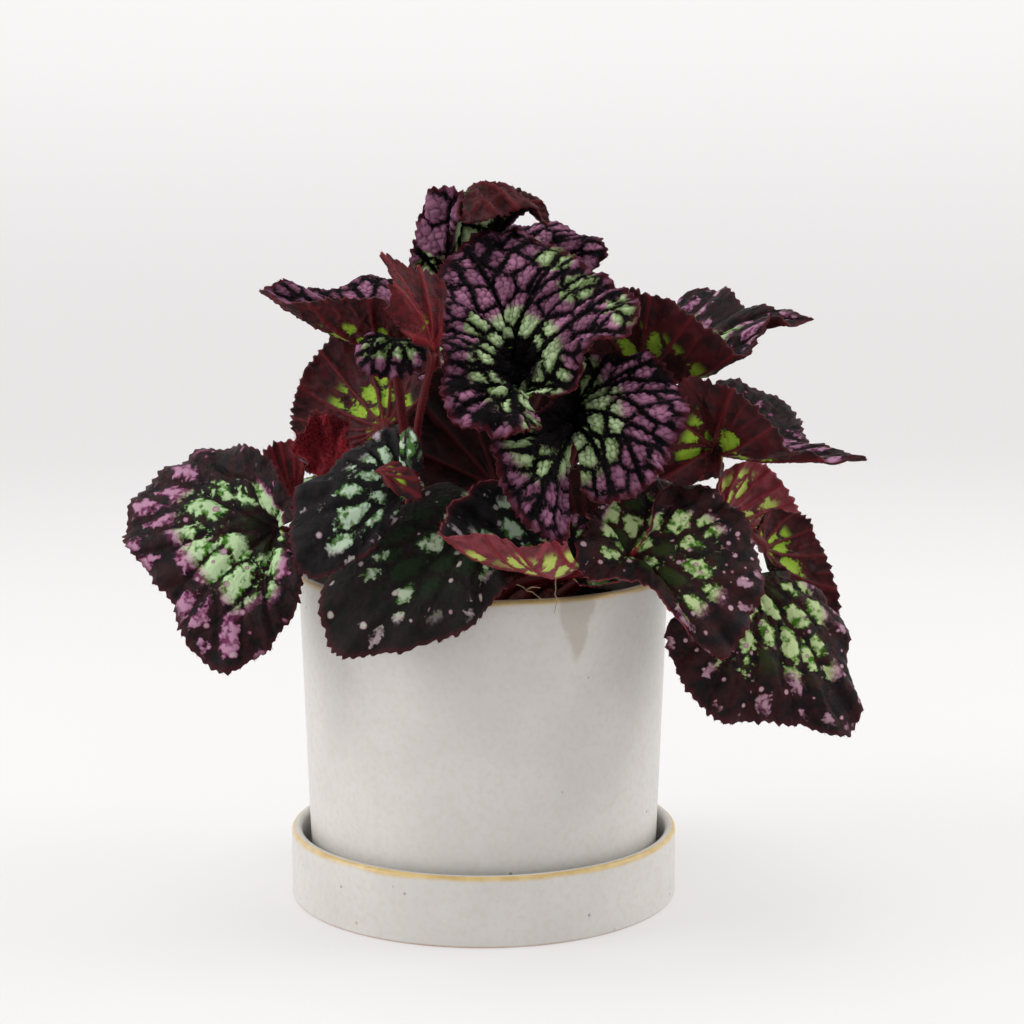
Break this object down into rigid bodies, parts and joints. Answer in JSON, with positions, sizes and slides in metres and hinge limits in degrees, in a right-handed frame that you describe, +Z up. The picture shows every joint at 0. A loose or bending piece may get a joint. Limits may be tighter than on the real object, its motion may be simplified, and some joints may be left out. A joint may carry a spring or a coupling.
{
  "type": "potted rex begonia",
  "caption": "Bushy rex begonia with puckered, dark-edged leaves on hairy red stems, growing in a straight round glazed pot that stands in a shallow matching saucer.",
  "frame": {"origin": "centre of the saucer's flat underside, on the surface the saucer stands on", "axes": "+Z up along the axis of pot and saucer; the plant's open funnel leaves face -Y, and +X is to the right seen from there"},
  "size_m": [0.2688, 0.2172, 0.2728],
  "materials": {
    "glaze": "satin",
    "soil": "matte",
    "rhizome": "matte",
    "stem": "matte",
    "leaf_rosette": "satin",
    "leaf_mature": "satin",
    "leaf_young": "matte"
  },
  "bodies": {
    "root": {"boat_leaf": "leaf_mature", "boat_stem": "stem", "crown_leaf": "leaf_rosette", "crown_stem": "stem", "front_leaf": "leaf_mature", "front_stem": "stem", "hooked_leaf": "leaf_rosette", "hooked_stem": "stem", "left_leaf": "leaf_mature", "left_side_leaf": "leaf_mature", "left_side_stem": "stem", "left_stem": "stem", "left_wing_leaf": "leaf_mature", "left_wing_stem": "stem", "low_right_leaf": "leaf_mature", "low_right_stem": "stem", "middle_leaf": "leaf_mature", "middle_stem": "stem", "pink_leaf": "leaf_mature", "pink_stem": "stem", "pot": "glaze", "rear_high_left_leaf": "leaf_mature", "rear_high_left_stem": "stem", "rear_high_right_leaf": "leaf_mature", "rear_high_right_stem": "stem", "rear_leaf": "leaf_mature", "rear_left_leaf": "leaf_mature", "rear_left_stem": "stem", "rear_right_leaf": "leaf_mature", "rear_right_stem": "stem", "rear_stem": "stem", "rear_top_leaf": "leaf_mature", "rear_top_stem": "stem", "red_bud_leaf": "leaf_young", "red_bud_stem": "stem", "rhizome": "rhizome", "right_leaf": "leaf_mature", "right_shoulder_leaf": "leaf_mature", "right_shoulder_stem": "stem", "right_side_leaf": "leaf_mature", "right_side_stem": "stem", "right_stem": "stem", "right_wing_leaf": "leaf_mature", "right_wing_stem": "stem", "rosette_leaf": "leaf_rosette", "rosette_stem": "stem", "saucer": "glaze", "shoulder_leaf": "leaf_rosette", "shoulder_stem": "stem", "soil": "soil", "striped_leaf": "leaf_mature", "striped_stem": "stem", "twisted_leaf": "leaf_young", "twisted_stem": "stem", "upper_right_leaf": "leaf_mature", "upper_right_stem": "stem", "upright_leaf": "leaf_mature", "upright_stem": "stem", "woolly_leaf": "leaf_young", "woolly_stem": "stem"}
  },
  "joints": []
}
